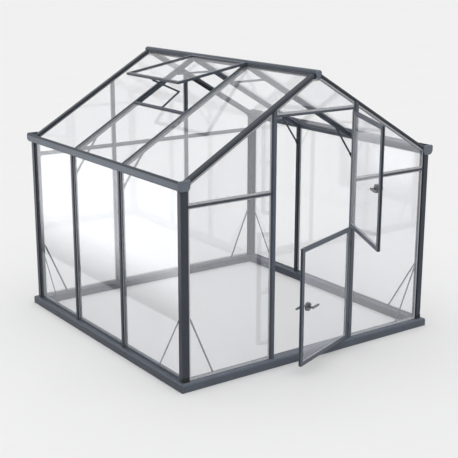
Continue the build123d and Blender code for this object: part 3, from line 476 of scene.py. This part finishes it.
# Door leaves: strips in the grooves of the outer edges and screws in the hinge plates
for leaf, open_deg, low, high in LEAVES:
    turn = Matrix.Rotation(radians(open_deg), 3, "Z")

    def on_leaf(x, z):
        return HINGE + turn @ (Vector((x, LEAF_MIDDLE, z)) - HINGE)

    strips = bmesh.new()
    left, right = GROOVE - LEAF_HALF, LEAF_HALF - GROOVE
    for x, out in ((left, -1), (right, 1)):
        strip(strips, on_leaf(x, low + STRIP_SHORT), on_leaf(x, high - STRIP_SHORT),
              turn @ Vector((out, 0, 0)), STRIP_WIDTH, STRIP_HEIGHT)
    for z, out in ((low + GROOVE, -1), (high - GROOVE, 1)):
        strip(strips, on_leaf(left - STRIP_PAST, z), on_leaf(right + STRIP_PAST, z),
              Vector((0, 0, out)), STRIP_WIDTH, STRIP_HEIGHT)
    bmesh.ops.recalc_face_normals(strips, faces=strips.faces)
    add_piece(leaf + "_edge_strips", strips, [black_rubber], leaf)

    outwards = Vector((0, -1, 0))
    for name, body, facing in ((leaf + "_hinges", leaf, turn @ outwards),
                               ("door_hinge_brackets", "frame", outwards)):
        screws = bmesh.new()
        for solid in islands(nodes[name]):
            normal, _, points = max(solid, key=lambda s: s[1] * (s[0].dot(facing) > 0.9))
            middle = middle_of(points)
            if low < middle.z < high:
                for rise in (-SCREW_RISE, SCREW_RISE):
                    stud(screws, middle + Vector((0, 0, rise)), normal, SCREW_RADIUS, SCREW_HEIGHT, SCREW_SIDES)
        add_piece(leaf + "_" + body + "_hinge_screws", screws, [screw_metal], body)

# Studio floor: pale where it is looked at, a little paler behind glass as painted light, and darker as a source
# of light
floor_mesh = bmesh.new()
bmesh.ops.create_grid(floor_mesh, x_segments=FLOOR_CELLS, y_segments=FLOOR_CELLS, size=FLOOR_SIZE)
floor_data = bpy.data.meshes.new("studio_floor")
floor_mesh.to_mesh(floor_data)
floor_mesh.free()
floor = bpy.data.objects.new("studio_floor", floor_data)
floor.location = (0, 0, cad_box[0][2] - FLOOR_DROP)
scene.collection.objects.link(floor)
paper = Shader("studio_paper")
bright = paper.ramp(paper.noise(0.8), [(0.3, PAPER_LOW), (0.7, PAPER_HIGH)])
seen = paper.tree.nodes.new("ShaderNodeLightPath").outputs
looked_at = math_node(paper.tree, "MAXIMUM", seen["Is Camera Ray"], seen["Is Glossy Ray"])
# Painted light: the floor seen through panes turns paler, making up for the dimming by the glass
bright = mix_node(paper.tree, seen["Transparent Depth"], bright, PAPER_PAINTED_LIGHT_BEHIND_GLASS)
paper.link(mix_node(paper.tree, looked_at, PAPER_AS_LIGHT, bright), "Base Color")
paper.set(Roughness=0.9, Specular_IOR_Level=0.1)
floor_data.materials.append(paper.material)

# Sky: light mostly from above, and a plain pale backdrop where it is looked at
world = bpy.data.worlds.new("studio")
scene.world = world
world.use_nodes = True
sky = world.node_tree
backdrop = sky.nodes["Background"]
backdrop.inputs["Color"].default_value = (1.0, 1.0, 1.0, 1)
aim = sky.nodes.new("ShaderNodeSeparateXYZ")
sky.links.new(sky.nodes.new("ShaderNodeTexCoord").outputs["Generated"], aim.inputs["Vector"])
zenith = math_node(sky, "POWER", math_node(sky, "MAXIMUM", aim.outputs["Z"], 0.0), 2.0)
lean = math_node(sky, "ADD", math_node(sky, "MULTIPLY", aim.outputs["X"], SKY_LEFT), SKY_LEVEL)
level = math_node(sky, "ADD", math_node(sky, "MULTIPLY", zenith, SKY_TOP), lean)
level = math_node(sky, "MAXIMUM", level, 0.0)
path = sky.nodes.new("ShaderNodeLightPath").outputs
mirrored = math_node(sky, "MAXIMUM", path["Is Glossy Ray"], path["Is Transmission Ray"])
looked_at = math_node(sky, "MAXIMUM", path["Is Camera Ray"], mirrored)
light = math_node(sky, "MULTIPLY", level, math_node(sky, "SUBTRACT", 1.0, looked_at))
strength = math_node(sky, "ADD", light, math_node(sky, "MULTIPLY", looked_at, BACKDROP))
sky.links.new(strength, backdrop.inputs["Strength"])

key = bpy.data.lights.new("key", "SUN")
key.energy = KEY_ENERGY
key.angle = radians(KEY_ANGLE)
key_lamp = bpy.data.objects.new("key", key)
key_lamp.rotation_euler = Vector(KEY_FROM).to_track_quat("Z", "Y").to_euler()
scene.collection.objects.link(key_lamp)

# Bright card beside the house, seen only in reflections and fading out at its edges
card_mesh = bpy.data.meshes.new("reflection_card")
card_mesh.from_pydata([(CARD_X, CARD_FRONT, 0.0), (CARD_X, CARD_BACK, 0.0), (CARD_X, CARD_BACK, CARD_TOP),
                       (CARD_X, CARD_FRONT, CARD_TOP)], [], [(0, 1, 2, 3)])
card = bpy.data.objects.new("reflection_card", card_mesh)
scene.collection.objects.link(card)
card.visible_camera = False
card.visible_diffuse = False
card.visible_transmission = False
card.visible_shadow = False
glow = Shader("card_glow")
across, up = glow.axis("Y"), glow.axis("Z")
shine = glow.span(up, 0.0, CARD_GLOW, 0.02, 0.42)
for fade in (glow.span(up, 1.0, 0.0, 1.2, 1.65), glow.span(across, 0.0, 1.0, 0.45, 1.0),
             glow.span(across, 1.0, 0.0, 3.6, 4.15)):
    shine = math_node(glow.tree, "MULTIPLY", shine, fade)
glow.link(shine, "Emission Strength")
glow.set(Emission_Color=(1, 1, 1, 1), Base_Color=(0, 0, 0, 1))
card_mesh.materials.append(glow.material)

camera = bpy.data.cameras.new("camera")
camera.sensor_width = SENSOR
camera.lens = LENS
camera.clip_end = CLIP_END
camera_object = bpy.data.objects.new("camera", camera)
camera_object.location = CAMERA_AT
camera_object.rotation_euler = [radians(turn) for turn in CAMERA_TURN]
scene.collection.objects.link(camera_object)
scene.camera = camera_object
scene.view_settings.view_transform = "Standard"
